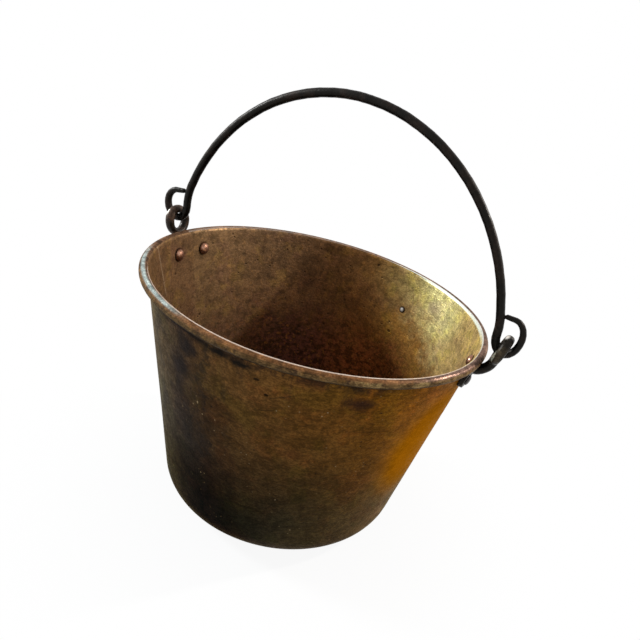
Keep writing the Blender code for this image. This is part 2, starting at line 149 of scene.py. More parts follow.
class Finish:
    """A metal finish under construction: one material and its nodes."""

    def __init__(self, name):
        self.material = bpy.data.materials.new(name)
        self.material.use_nodes = True
        self.tree = self.material.node_tree
        self.place = self.node("ShaderNodeTexCoord").outputs["Object"]
        self.x, self.y, self.z = self.node("ShaderNodeSeparateXYZ", [(0, self.place)]).outputs
        self.radius = self.length(self.stretched(self.place, (1, 1, 0)))

    def node(self, kind, inputs=(), **settings):
        return new_node(self.tree, kind, inputs, **settings)

    def math(self, operation, a, b):
        """One step of arithmetic on sockets or plain values."""
        return self.node("ShaderNodeMath", [(0, a), (1, b)], operation=operation).outputs[0]

    def all_of(self, operation, values):
        """The same arithmetic over any number of values, from the first on."""
        result = values[0]
        for value in values[1:]:
            result = self.math(operation, result, value)
        return result

    def product(self, *values):
        return self.all_of("MULTIPLY", values)

    def total(self, *values):
        return self.all_of("ADD", values)

    def most(self, *values):
        return self.all_of("MAXIMUM", values)

    def less(self, a, b):
        return self.math("SUBTRACT", a, b)

    def length(self, vector):
        return self.node("ShaderNodeVectorMath", [(0, vector)], operation="LENGTH").outputs["Value"]

    def stretched(self, place, scale):
        """A place or a colour with each of its three parts multiplied by its own factor."""
        return self.node("ShaderNodeVectorMath", [(0, place), (1, scale)], operation="MULTIPLY").outputs[0]

    def shaded(self, colour, amount):
        """Darkens or lightens a colour by a factor."""
        made = self.node("ShaderNodeVectorMath", [(0, colour), ("Scale", amount)], operation="SCALE")
        return made.outputs[0]

    def noise(self, scale, detail, roughness, stretch=(1, 1, 1), shift=0.0, place=None):
        """Cloudy pattern from 0 to 1; the shift picks another part of it."""
        place = self.stretched(self.place if place is None else place, stretch)
        made = self.node("ShaderNodeTexNoise", [("Vector", place), ("Scale", scale), ("Detail", detail),
                                                ("Roughness", roughness), ("W", shift)],
                         noise_dimensions="4D")
        return made.outputs["Fac"]

    def waver(self, scale, detail, roughness, shift, reach):
        """Cloudy pattern round 0, half the reach to each side at most."""
        pattern = self.noise(scale, detail, roughness, shift=shift)
        return self.product(self.less(pattern, 0.5), reach)

    def window(self, value, low, high, to_low=0.0, to_high=1.0):
        """Eases a value from one range to another."""
        made = self.node("ShaderNodeMapRange", [("Value", value), ("From Min", low), ("From Max", high),
                                                ("To Min", to_low), ("To Max", to_high)],
                         interpolation_type="SMOOTHSTEP")
        return made.outputs["Result"]

    def band(self, value, low, high, soft):
        """1 between two values and 0 outside them."""
        return self.product(self.window(value, low - soft, low + soft),
                            self.window(value, high + soft, high - soft))

    def blots(self, grain, cut, shift, stretch=(1, 1, 1)):
        """Blots of the cloudy pattern: its scale, detail and roughness, and the two levels that cut it."""
        return self.window(self.noise(*grain, stretch, shift), *cut)

    def mottling(self, shift, fine, coarse):
        """Uneven tarnish, as factors round 1, from fine grain to wide clouds."""
        grains = [self.window(self.noise(*pattern), *cut, 1 - share, 1 + share) for pattern, cut, share in (
            ((700.0, 1.0, 0.5, (1, 1, 1.6), shift + 3), (0.38, 0.62), fine),
            ((300.0, 2.0, 0.6, (1, 1, 1.5), shift), (0.40, 0.60), fine),
            ((80.0, 4.0, 0.66, (1, 1, 1.3), shift + 1), (0.41, 0.59), coarse),
            ((17.0, 4.0, 0.6, (1, 1, 1), shift + 2), (0.35, 0.65), 0.12))]
        return self.product(grains[0], grains[1]), grains[2], grains[3]

    def mix(self, amount, below, above):
        """The colour below at an amount of 0, and the one above at 1."""
        below, above = [(*colour, 1.0) if isinstance(colour, tuple) else colour for colour in (below, above)]
        made = self.node("ShaderNodeMix", [("Factor", amount), ("A", below), ("B", above)], data_type="RGBA")
        return made.outputs["Result"]

    def laid(self, colour, over, where, share):
        """Lays a share of a second colour over the first, where the amount says so."""
        return self.mix(self.product(where, share), colour, over)

    def tinted(self, colour, tint, where, share):
        """Multiplies a share of a colour by a tint, where the amount says so."""
        return self.laid(colour, self.stretched(colour, tint), where, share)

    def flushed(self, colour, flushes):
        """Lays a table of tinted blots over a colour."""
        for grain, cut, shift, tint, share in flushes:
            colour = self.tinted(colour, tint, self.blots(grain, cut, shift), share)
        return colour

    def tones(self, value, stops):
        """A run of colours along a value from 0 to 1."""
        made = self.node("ShaderNodeValToRGB", [("Fac", value)])
        ramp = made.color_ramp
        while len(ramp.elements) < len(stops):
            ramp.elements.new(0.5)
        for element, (position, colour) in zip(ramp.elements, stops):
            element.position = position
            element.color = (*colour, 1.0)
        return made.outputs["Color"]

    def tones_between(self, value, low, high, stops):
        """A run of colours along a value that goes from low to high."""
        part = self.node("ShaderNodeMapRange", [("Value", value), ("From Min", low), ("From Max", high)])
        stops = [((at - low) / (high - low), colour) for at, colour in stops]
        return self.tones(part.outputs["Result"], stops)

    def tones_round(self, azimuth, stops):
        """A run of colours round the kettle, by azimuth from -180 to 180 degrees."""
        return self.tones_between(azimuth, -180.0, 180.0, stops)

    def grey_round(self, azimuth, stops):
        """A plain value round the kettle, by azimuth."""
        greys = self.tones_round(azimuth, [(at, (value,) * 3) for at, value in stops])
        return self.node("ShaderNodeSeparateColor", [(0, greys)]).outputs[0]

    def degrees(self, up, along):
        """Angle of a slope, in degrees."""
        return self.product(self.math("ARCTAN2", up, along), 180 / math.pi)

    def azimuth(self, stray=0.0):
        """Azimuth in degrees, with its lines made uneven by the stray."""
        turn = self.degrees(self.y, self.x)
        if stray:
            turn = self.total(turn, self.waver(22.0, 5.0, 0.65, shift=4.0, reach=stray))
        return turn

    def spot(self, place, azimuth, sizes, ragged=0.0, soft=0.6):
        """A soft spot, turned to an azimuth: 1 in its middle and 0 past its half sizes."""
        spot = self.node("ShaderNodeMapping",
                         [("Vector", self.place), ("Location", place),
                          ("Rotation", (0.0, 0.0, math.radians(azimuth))), ("Scale", sizes)],
                         vector_type="TEXTURE")
        away = self.length(spot.outputs["Vector"])
        if ragged:
            away = self.total(away, self.waver(0.8 / min(sizes), 5.0, 0.65, shift=azimuth, reach=2 * ragged))
        return self.window(away, 1.0, 1.0 - soft)

    def patch(self, azimuth, z, across, up, ragged, soft):
        """A soft spot on the wall, by its azimuth and height."""
        return self.spot(on_wall(azimuth, z), azimuth, (max(across, up), across, up), ragged, soft)

    def patches(self, marks):
        """All the soft spots of a table of marks."""
        return self.most(*[self.patch(*mark) for mark in marks])

    def joined(self, *parts):
        """A place from two or three plain parts."""
        return self.node("ShaderNodeCombineXYZ", enumerate(parts)).outputs[0]

    def turning_marks(self, fineness, shift=0.0):
        """Fine lines round the kettle, left by spinning."""
        place = self.joined(self.product(self.x, 14.0), self.product(self.y, 14.0),
                            self.product(self.total(self.z, self.radius), fineness))
        return self.noise(1.0, 4.0, 0.7, shift=shift, place=place)

    def scratches(self, slope, length, shift):
        """Short scratches along a slope on the wall, in degrees from level."""
        turn = self.product(self.math("ARCTAN2", self.y, self.x), wall_radius(KETTLE_HEIGHT / 2))
        c, s = math.cos(math.radians(slope)), math.sin(math.radians(slope))
        along = self.total(self.product(turn, c), self.product(self.z, s))
        across = self.less(self.product(self.z, c), self.product(turn, s))
        place = self.joined(self.product(along, 1.0 / length), self.product(across, 14.0 / length))
        return self.noise(1.0, 3.0, 0.6, shift=shift, place=place)

    def pits(self, spacing, size, share, shift):
        """Scattered round pits; a share of the places has one."""
        moved = self.node("ShaderNodeVectorMath", [(0, self.place), (1, (shift, shift, shift))],
                          operation="ADD")
        cells = self.node("ShaderNodeTexVoronoi", [("Vector", moved.outputs[0]), ("Scale", 1.0 / spacing)])
        chosen = self.node("ShaderNodeSeparateColor", [(0, cells.outputs["Color"])]).outputs[0]
        near = self.window(cells.outputs["Distance"], size / spacing, 0.4 * size / spacing)
        return self.product(near, self.window(chosen, 1 - share, 1 - share + 0.02))

    def relief(self, value, depth, strength):
        """The surface's normal, with the value as a bump of a depth in metres."""
        made = self.node("ShaderNodeBump", [("Strength", strength), ("Distance", depth), ("Height", value)])
        return made.outputs["Normal"]

    def done(self, colour, roughness, metallic, normal, tint=(1.0, 1.0, 1.0), shine=0.5):
        """Connects the shader, and gives the finished material."""
        put(self.tree, self.tree.nodes["Principled BSDF"],
            [("Base Color", colour), ("Roughness", roughness), ("Metallic", metallic), ("Normal", normal),
             ("Specular Tint", (*tint, 1.0)), ("Specular IOR Level", shine)])
        return self.material


# Tones round the kettle, by azimuth in degrees; all colours are linear red, green and blue
OUTER_HIGH_TONES = ((-180, (0.100, 0.070, 0.034)), (-134, (0.096, 0.068, 0.037)),
                    (-108, (0.034, 0.022, 0.013)), (-84, (0.116, 0.056, 0.017)),
                    (-50, (0.118, 0.048, 0.008)), (-32, (0.215, 0.078, 0.004)),
                    (0, (0.190, 0.082, 0.012)), (80, (0.108, 0.060, 0.018)),
                    (180, (0.100, 0.070, 0.034)))
# Low on the outer wall the tones turn darker towards the bottom: soot and painted shade
OUTER_LOW_TONES = ((-180, (0.040, 0.034, 0.022)), (-128, (0.013, 0.020, 0.018)),
                   (-96, (0.0015, 0.0050, 0.0054)), (-74, (0.013, 0.013, 0.008)),
                   (-38, (0.056, 0.036, 0.012)), (-10, (0.110, 0.064, 0.020)),
                   (60, (0.050, 0.031, 0.012)), (180, (0.040, 0.031, 0.018)))
INNER_TONES = ((-180, (0.200, 0.112, 0.056)), (-60, (0.160, 0.085, 0.034)), (0, (0.300, 0.150, 0.050)),
               (46, (0.250, 0.105, 0.030)), (90, (0.186, 0.090, 0.028)), (112, (0.140, 0.069, 0.029)),
               (134, (0.196, 0.114, 0.060)), (176, (0.232, 0.138, 0.067)),
               (180, (0.200, 0.112, 0.056)))
PAINTED_LIT_POLISHED_TONES = ((-40, (0.640, 0.440, 0.200)), (36, (0.575, 0.412, 0.160)),
                  (52, (0.580, 0.510, 0.210)), (66, (0.430, 0.340, 0.126)),
                  (84, (0.270, 0.190, 0.068)))
RESIDUE_AND_SHADE_TONES = ((50, (0.120, 0.042, 0.012)), (88, (0.230, 0.074, 0.026)), (100, (0.165, 0.058, 0.028)),
                 (112, (0.112, 0.043, 0.034)), (136, (0.088, 0.034, 0.030)),
                 (160, (0.100, 0.040, 0.025)))

# Tones over the roll, by degrees from its outermost line up and inwards; the darkest, on its underside, are
# painted shade
ROLL_TONES = ((-70, (0.010, 0.007, 0.005)), (-38, (0.030, 0.021, 0.012)), (-15, (0.104, 0.064, 0.026)),
              (20, (0.134, 0.076, 0.031)), (60, (0.160, 0.080, 0.038)), (95, (0.165, 0.086, 0.050)),
              (140, (0.150, 0.080, 0.040)), (180, (0.120, 0.066, 0.030)))
ROLL_FROM, ROLL_TO = -90.0, 180.0

# Bands over the roll, in the same degrees: from, to and softness, or where a finish starts and ends
GOLD_OVER = (-30.0, 70.0, 15.0)
KHAKI_OVER = (-20.0, 40.0, 14.0)
COPPERY_OVER = (34.0, 84.0, 10.0)
WINDOW_REFLECTION_OVER = (52.0, 96.0, 14.0)
MAUVE_FROM = (20.0, 50.0)
SHOULDER_EASE = (-5.0, 5.0)
SHOULDER_END = (190.0, 156.0)
DULL_END = (104.0, 92.0)

# Tones from the darkest to the palest part of a cloudy pattern
WINDOW_REFLECTION_TONES = ((0.0, (0.17, 0.205, 0.200)), (1.0, (0.46, 0.55, 0.53)))
COPPER_TONES = ((0.35, (0.150, 0.062, 0.035)), (0.5, (0.300, 0.150, 0.095)), (0.68, (0.500, 0.300, 0.215)))
PATCH_TONES = ((0.35, (0.300, 0.270, 0.240)), (0.65, (0.640, 0.610, 0.570)))

# Plain values round the kettle, by azimuth: how much of the polish and painted light there is, its lowest
# line as a share of the height just below, how thick the residue and painted shade lie, and on the roll where
# the rubbed shoulder with its painted highlight starts, as a share of half a turn, and how bright its wear
# and highlight are
PAINTED_LIT_POLISH_HEIGHT = 0.25
PAINTED_LIT_POLISH_AMOUNT = ((-60, 0.0), (-20, 1.0), (65, 1.0), (77, 0.78), (92, 0.0))
PAINTED_LIT_POLISH_LOWEST = ((0, 0.44), (36, 0.47), (46, 0.55), (56, 0.63), (76, 0.66))
RESIDUE_AND_SHADE_AMOUNT = ((-180, 0.4), (0, 1.0), (138, 1.0), (156, 0.45), (180, 0.4))
SHOULDER_START = ((-180, 0.84), (-150, 0.82), (-135, 0.68), (-120, 0.58), (-105, 0.52), (-90, 0.48),
                  (-60, 0.47), (-30, 0.53), (0, 0.69), (20, 0.60), (40, 0.66), (86, 0.66),
                  (110, 0.60), (180, 0.60))
SHOULDER_WEAR_AND_HIGHLIGHT = ((-180, 0.35), (-165, 0.85), (-140, 1.0), (-112, 0.85), (-96, 0.70), (-64, 0.72),
                   (-44, 0.95), (-20, 0.95), (30, 1.0), (70, 1.0), (80, 0.55), (92, 0.12),
                   (160, 0.22), (180, 0.20))

# Flushes of other tones: grain of the blots, their cut, shift, tint and share
OUTER_FLUSHES = (((27.0, 4.0, 0.62), (0.50, 0.60), 6.0, (0.84, 1.02, 0.70), 0.50),
                 ((33.0, 4.0, 0.62), (0.52, 0.62), 6.6, (1.42, 1.10, 1.05), 0.42),
                 ((190.0, 3.0, 0.6), (0.56, 0.66), 6.9, (1.55, 1.40, 1.30), 0.50))
INNER_FLUSHES = (((46.0, 4.0, 0.64), (0.52, 0.62), 15.0, (1.30, 1.38, 0.95), 0.55),
                 ((30.0, 4.0, 0.64), (0.50, 0.62), 15.5, (0.88, 0.80, 0.95), 0.60),
                 ((190.0, 3.0, 0.6), (0.56, 0.66), 15.8, (1.45, 1.35, 1.05), 0.45))

# Colours of dirt, wear and clean metal, and of painted shade, highlights and reflections
SMOKE_GREY = (0.011, 0.011, 0.010)
POLISH_AND_REFLECTION_ORANGE = (0.345, 0.128, 0.0018)
STREAK_GREY = (0.120, 0.105, 0.070)
SMUDGE_BLACK = (0.008, 0.008, 0.009)
GRIME_AND_SHADE_BLACK = (0.009, 0.007, 0.008)
LEDGE_SHADE_BLACK = (0.006, 0.006, 0.006)
BLOTCH_BROWN = (0.020, 0.009, 0.008)
DULL_RED = (0.085, 0.022, 0.010)
PALE_GRIT = (0.30, 0.22, 0.13)
PIT_BLACK = (0.004, 0.003, 0.002)
DRAG_BROWN = (0.012, 0.008, 0.005)
GLEAMING_BRASS = (0.630, 0.560, 0.245)
GOLDEN_EDGE = (0.300, 0.165, 0.030)
COPPER_FLECK = (0.360, 0.160, 0.048)
CRACK_BROWN = (0.130, 0.058, 0.020)
LIP_WEAR_AND_HIGHLIGHT = (0.820, 0.900, 0.780)
DULLED_BRASS = (0.330, 0.250, 0.150)
PIT_BROWN = (0.022, 0.010, 0.005)
STAIN_BROWN = (0.020, 0.010, 0.006)
SEAM_PALE = (0.46, 0.32, 0.20)
ROLL_STAIN = (0.026, 0.015, 0.012)
KHAKI = (0.300, 0.205, 0.085)
COPPERY = (0.225, 0.100, 0.038)
MAUVE = (0.150, 0.096, 0.082)
PINKISH_WEAR_AND_HIGHLIGHT = (0.94, 0.80, 0.70)
COOL_WEAR_AND_HIGHLIGHT = (0.92, 0.98, 0.90)
PEEN_BLACK = (0.009, 0.007, 0.006)
RING_BLACK = (0.020, 0.012, 0.008)

# Roughness where the roll's shoulder is rubbed, and the least metal that shows on iron
RUBBED_ROUGHNESS = (0.30, 0.30, 0.30)
IRON_METALLIC = 0.06

# Stretches round the kettle: first and last azimuth, and the softness of their ends
SMOKED_SIDE = (-136.0, -88.0, 9.0)
GRIME_AND_SHADE_SIDE = (-128.0, -42.0, 8.0)
LEDGE_SHADE_SIDE = (-134.0, -98.0, 6.0)
SOOTED_SIDE = (-140.0, -74.0, 12.0)
GLEAM_SIDE = (42.0, 61.0, 8.0)
LIP_SIDE = (14.0, 64.0, 9.0)
KHAKI_SIDE = (-58.0, -12.0, 10.0)
COPPERY_SIDE = (-112.0, -46.0, 10.0)
MAUVE_SIDE = (-36.0, 44.0, 10.0)
COOL_WEAR_AND_HIGHLIGHT_SIDE = (-12.0, 84.0, 12.0)
WINDOW_REFLECTION_SIDE = (-152.0, -109.0, 7.0)
DULL_SIDE = (-170.0, -92.0, 10.0)

# Heights over which a finish changes, in metres, and an azimuth past which streaks show
LOW_TO_HIGH = (0.045, 0.205)
GRIME_AND_SHADE_LINE = (0.2015, 0.2090)
GRIME_RUNS = (0.178, 0.206)
ROLL_SHADE = (0.2095, 0.2125)
LEDGE_SHADE = (0.2076, 0.2088, 0.0005)
SOOT_DOWN = (0.130, 0.060)
GLEAM_UP = (0.168, 0.204)
RESIDUE_AND_SHADE_DOWN = (0.170, 0.095)
LIP_UP = (ROLL_Z + 0.0006, ROLL_Z + 0.0018)
SEAM_UP = (0.170, 0.178)
EAR_SHADE = (0.206, 0.222)
STREAKED_PAST = (-119.0, -131.0)

# Heights over the lowest line of the polish and painted light: where they set in, and the golden band along
# that line
PAINTED_LIT_POLISH_EASE = (-0.012, 0.050)
GOLDEN_BAND = (-0.034, 0.004, 0.012)

# Single marks on the wall: azimuth, height, half width, half height, raggedness, softness
WARM_GLOW = (-10.0, 0.138, 0.064, 0.082, 0.12, 0.62)
PAINTED_SHADE_PATCH = (-95.0, 0.148, 0.024, 0.036, 0.4, 0.95)
SMUDGES = ((-104.0, 0.196, 0.020, 0.012, 0.9, 0.9), (-110.0, 0.175, 0.016, 0.026, 0.9, 0.9))
CREEPING_GRIME_AND_SHADE = ((-94.0, 0.2068, 0.014, 0.0040, 0.9, 0.8), (-86.0, 0.2050, 0.011, 0.0036, 0.9, 0.8))
RED_BROWN_BLOTCH = (-51.0, 0.1955, 0.018, 0.0085, 0.9, 0.8)
REDDISH_PATCH = (-67.0, 0.138, 0.011, 0.009, 0.5, 0.9)
PALE_SPECK = (-101.0, 0.1525, 0.0010, 0.0017, 0.0, 0.4)
OUTER_PITS = ((-81.2, 0.1982, 0.0030, 0.0015, 0.2, 0.5), (-77.9, 0.1879, 0.0024, 0.0014, 0.2, 0.5))
DRAGGED_PLACE = (-66.0, 0.100, 0.034, 0.020, 0.5, 0.9)
DULLED_PLACE = (58.0, 0.1980, 0.016, 0.008, 0.8, 0.9)
INNER_PIT = (74.9, 0.150, 0.0028, 0.0019, 0.0, 0.5)
STAINS = tuple((azimuth, PLATE_Z, 0.0078, 0.0078, 0.0, 0.35) for azimuth in RIVET_AZIMUTHS) + (
    (PATCH_AZIMUTH, PATCH_Z, 0.0046, 0.0046, 0.0, 0.3),)
PATCH_FACE = (PATCH_AZIMUTH, PATCH_Z, 0.0030, 0.0030, 0.0, 0.3)

# The joint of the sheet on the inside: its two edges by azimuth at the base, their softness, and
# its lean in degrees for each metre of height
SEAM = (-178.7, -177.9, 0.2)
SEAM_LEAN = -97.0

# Forged iron: its scale, rust and worn colour, the shift of its pattern, and its shine
BAIL_IRON = ((0.0045, 0.0045, 0.0042), (0.015, 0.010, 0.008), (0.070, 0.050, 0.040), 51.0, 0.14)
LEFT_EAR_IRON = ((0.012, 0.008, 0.006), (0.065, 0.034, 0.020), (0.30, 0.22, 0.15), 61.0, 0.22)
RIGHT_EAR_IRON = ((0.008, 0.006, 0.004), (0.062, 0.046, 0.026), (0.40, 0.34, 0.22), 71.0, 0.16)
RIM_WIRE_IRON = ((0.030, 0.026, 0.023), (0.07, 0.04, 0.03), (0.2, 0.18, 0.16), 81.0, 0.25)

# Painted glints on the ears, shown as bare shiny metal: middle, half sizes and colour
LEFT_EAR_PAINTED_GLINTS = (((-0.1614, -0.0100, 0.2348), (0.0023, 0.0036, 0.0056), (0.80, 0.78, 0.72)),
                 ((-0.1564, -0.0035, 0.2280), (0.0018, 0.0050, 0.0070), (0.42, 0.34, 0.26)))
RIGHT_EAR_PAINTED_GLINTS = (((0.1592, -0.0015, 0.2436), (0.0036, 0.0062, 0.0032), (0.92, 0.88, 0.82)),
                  ((0.1546, -0.0118, 0.2280), (0.0024, 0.0040, 0.0090), (0.62, 0.64, 0.52)))


def brass_outside():
    """Outer wall: reddish brown above, smoky olive below and darker towards the bottom as painted shade,
    polished orange towards the right ear with a painted warm reflection, and painted shade under the roll.
    """
    brass = Finish("brass_outside")
    grain, blotch, cloud = brass.mottling(1.0, fine=0.16, coarse=0.17)
    value = brass.product(grain, blotch, cloud)
    turn = brass.azimuth(stray=18.0)
    uneven = brass.waver(24.0, 5.0, 0.7, shift=3.0, reach=0.08)
    colour = brass.mix(brass.window(brass.total(brass.z, uneven), *LOW_TO_HIGH),
                       brass.tones_round(turn, OUTER_LOW_TONES), brass.tones_round(turn, OUTER_HIGH_TONES))
    colour = brass.flushed(brass.shaded(colour, value), OUTER_FLUSHES)

    smoke = brass.blots((60.0, 4.0, 0.64), (0.50, 0.60), 7.4, stretch=(1, 1, 0.75))
    smoke = brass.product(smoke, brass.band(turn, *SMOKED_SIDE))
    colour = brass.laid(colour, SMOKE_GREY, where=smoke, share=0.60)
    # A soft darker patch at the front: painted shade
    painted_shade_patch = brass.patch(*PAINTED_SHADE_PATCH)
    colour = brass.shaded(colour, brass.window(painted_shade_patch, 0.0, 1.0, 1.0, 0.60))
    # Towards the right ear the wall turns a smooth polished orange that is partly a painted warm reflection
    glow = brass.patch(*WARM_GLOW)
    calm = brass.window(value, 0.5, 1.5, 0.86, 1.14)
    colour = brass.mix(glow, colour, brass.shaded(POLISH_AND_REFLECTION_ORANGE, calm))
    streaks = brass.blots((150.0, 4.0, 0.65), (0.50, 0.64), 7.8, stretch=(1, 1, 0.14))
    streaks = brass.product(streaks, brass.window(turn, *STREAKED_PAST))
    colour = brass.laid(colour, STREAK_GREY, where=streaks, share=0.55)
    colour = brass.laid(colour, SMUDGE_BLACK, where=brass.patches(SMUDGES), share=0.88)

    # A blotchy dark band just under the roll, with runs below it: grime and painted shade
    grime_and_shade = brass.product(brass.window(brass.z, *GRIME_AND_SHADE_LINE),
                          brass.blots((60.0, 6.0, 0.75), (0.40, 0.52), 8.0, stretch=(1, 1, 0.8)))
    runs = brass.product(brass.window(brass.z, *GRIME_RUNS),
                         brass.blots((75.0, 5.0, 0.7), (0.55, 0.64), 8.5, stretch=(1, 1, 0.22)))
    grime_and_shade = brass.product(brass.most(grime_and_shade, brass.product(runs, 0.55)), brass.band(turn, *GRIME_AND_SHADE_SIDE))
    colour = brass.laid(colour, GRIME_AND_SHADE_BLACK, where=grime_and_shade, share=0.72)
    colour = brass.shaded(colour, brass.window(brass.z, *ROLL_SHADE, 1.0, 0.30))
    # A thin dark line on the wall a little under the roll is painted shade; the creeping patches that widen
    # it are grime and painted shade
    ledge_shade_and_grime = brass.product(brass.band(brass.total(brass.z, brass.product(uneven, 0.05)), *LEDGE_SHADE),
                          brass.band(turn, *LEDGE_SHADE_SIDE))
    ledge_shade_and_grime = brass.most(ledge_shade_and_grime, brass.patches(CREEPING_GRIME_AND_SHADE))
    colour = brass.laid(colour, LEDGE_SHADE_BLACK, where=ledge_shade_and_grime, share=0.92)
    colour = brass.laid(colour, BLOTCH_BROWN, where=brass.patch(*RED_BROWN_BLOTCH), share=0.80)
    colour = brass.laid(colour, DULL_RED, where=brass.patch(*REDDISH_PATCH), share=0.30)

    marks = brass.turning_marks(1100.0)
    colour = brass.shaded(colour, brass.window(marks, 0.35, 0.65, 0.88, 1.10))
    clusters = brass.blots((38.0, 3.0, 0.6), (0.54, 0.64), 9.2)
    specks = brass.product(brass.pits(0.0036, 0.0008, share=0.45, shift=0.3), clusters)
    specks = brass.product(brass.most(specks, brass.patch(*PALE_SPECK)), brass.window(glow, 0.5, 0.1))
    colour = brass.laid(colour, PALE_GRIT, where=specks, share=0.75)
    pits = brass.most(brass.pits(0.0075, 0.0009, share=0.40, shift=0.7), brass.patches(OUTER_PITS))
    colour = brass.laid(colour, PIT_BLACK, where=pits, share=0.85)
    rubs = brass.window(brass.scratches(-24.0, 0.030, 2.0), 0.62, 0.74)
    colour = brass.shaded(colour, brass.window(rubs, 0.0, 1.0, 1.0, 1.30))
    drags = brass.window(brass.scratches(-2.0, 0.045, 3.0), 0.60, 0.66)
    drags = brass.product(drags, brass.patch(*DRAGGED_PLACE))
    hairs = brass.product(brass.window(brass.scratches(28.0, 0.040, 3.6), 0.66, 0.70), 0.8)
    colour = brass.laid(colour, DRAG_BROWN, where=brass.most(drags, hairs), share=0.6)

    rise = brass.total(brass.product(grain, 0.6), brass.product(marks, 0.6))
    rise = brass.less(rise, brass.product(pits, 2.0))
    sooted = brass.product(brass.band(turn, *SOOTED_SIDE), brass.window(brass.z, *SOOT_DOWN))
    metallic = brass.total(brass.window(glow, 0.0, 0.8, 0.5, 0.96), brass.product(sooted, 0.34))
    return brass.done(colour, roughness=brass.window(value, 0.6, 1.4, 0.56, 0.42), metallic=metallic,
                      normal=brass.relief(rise, 0.0004, 0.7), tint=(0.50, 0.40, 0.18), shine=0.05)


def brass_inside():
    """Inner wall: khaki brown at the left, a polished stretch at the right that is also a painted pool of
    light, dark residue and painted shade low down.
    """
    brass = Finish("brass_inside")
    grain, blotch, cloud = brass.mottling(11.0, fine=0.15, coarse=0.22)
    value = brass.product(grain, blotch, cloud)
    turn = brass.azimuth(stray=20.0)
    uneven = brass.waver(46.0, 6.0, 0.74, shift=14.0, reach=0.110)
    # The polished stretch at the right is also a painted pool of light, with a painted highlight at its top
    # and a golden band along its lowest line
    amount = brass.grey_round(turn, PAINTED_LIT_POLISH_AMOUNT)
    lowest = brass.product(brass.grey_round(turn, PAINTED_LIT_POLISH_LOWEST), PAINTED_LIT_POLISH_HEIGHT)
    over_lowest = brass.less(brass.total(brass.z, uneven), lowest)
    painted_lit_polished = brass.product(amount, brass.window(over_lowest, *PAINTED_LIT_POLISH_EASE))
    gleam = brass.product(brass.window(brass.z, *GLEAM_UP), brass.band(turn, *GLEAM_SIDE))
    painted_lit_polish = brass.mix(gleam, brass.tones_round(turn, PAINTED_LIT_POLISHED_TONES), GLEAMING_BRASS)
    golden = brass.product(amount, brass.band(over_lowest, *GOLDEN_BAND))
    colour = brass.tones_round(turn, INNER_TONES)
    colour = brass.laid(colour, GOLDEN_EDGE, where=golden, share=0.55)
    colour = brass.shaded(brass.mix(painted_lit_polished, colour, painted_lit_polish), value)
    colour = brass.flushed(colour, INNER_FLUSHES)
    umber = brass.blots((150.0, 3.0, 0.62), (0.55, 0.64), 16.0)
    colour = brass.laid(colour, brass.shaded(colour, 0.45), where=umber, share=0.55)

    # Lower down the inner wall turns a darker red-brown: residue and painted shade together
    deep = brass.product(brass.window(brass.total(brass.z, uneven), *RESIDUE_AND_SHADE_DOWN),
                         brass.grey_round(turn, RESIDUE_AND_SHADE_AMOUNT))
    caked = brass.window(brass.noise(140.0, 3.0, 0.62, (1, 1, 1.3), 26.5), 0.41, 0.59, 0.40, 1.60)
    residue_and_shade = brass.shaded(brass.tones_round(turn, RESIDUE_AND_SHADE_TONES), brass.product(caked, grain))
    colour = brass.laid(colour, residue_and_shade, where=deep, share=0.80)
    flecks = brass.product(brass.blots((240.0, 2.0, 0.6), (0.55, 0.66), 26.0), deep)
    colour = brass.laid(colour, COPPER_FLECK, where=flecks, share=0.65)
    cracks = brass.product(brass.window(brass.scratches(62.0, 0.016, 18.0), 0.60, 0.66), painted_lit_polished)
    colour = brass.laid(colour, CRACK_BROWN, where=cracks, share=0.75)
    wipes = brass.window(brass.scratches(100.0, 0.030, 19.0), 0.35, 0.65, 0.93, 1.07)
    colour = brass.shaded(colour, wipes)
    # A pale lip at the top of the wall on the right: wear and a painted highlight
    lip = brass.product(brass.band(turn, *LIP_SIDE), brass.window(brass.z, *LIP_UP))
    colour = brass.laid(colour, LIP_WEAR_AND_HIGHLIGHT, where=lip, share=0.85)
    colour = brass.laid(colour, DULLED_BRASS, where=brass.patch(*DULLED_PLACE), share=0.65)

    pits = brass.most(brass.pits(0.009, 0.0013, share=0.45, shift=0.2),
                      brass.pits(0.021, 0.0022, share=0.6, shift=0.9), brass.patch(*INNER_PIT))
    colour = brass.laid(colour, PIT_BROWN, where=pits, share=0.8)
    colour = brass.laid(colour, STAIN_BROWN, where=brass.patches(STAINS), share=0.85)
    along_seam = brass.total(brass.azimuth(), brass.product(brass.z, SEAM_LEAN))
    seam = brass.product(brass.band(along_seam, *SEAM), brass.window(brass.z, *SEAM_UP), grain)
    colour = brass.laid(colour, SEAM_PALE, where=seam, share=0.6)

    marks = brass.turning_marks(900.0, 12.0)
    rise = brass.total(brass.product(grain, 0.6), brass.product(blotch, 0.4), brass.product(marks, 0.4))
    rise = brass.less(rise, brass.product(pits, 1.5))
    return brass.done(colour, roughness=brass.window(value, 0.5, 1.5, 0.54, 0.38), metallic=0.45,
                      normal=brass.relief(rise, 0.0005, 0.6), tint=(0.8, 0.6, 0.35), shine=0.1)


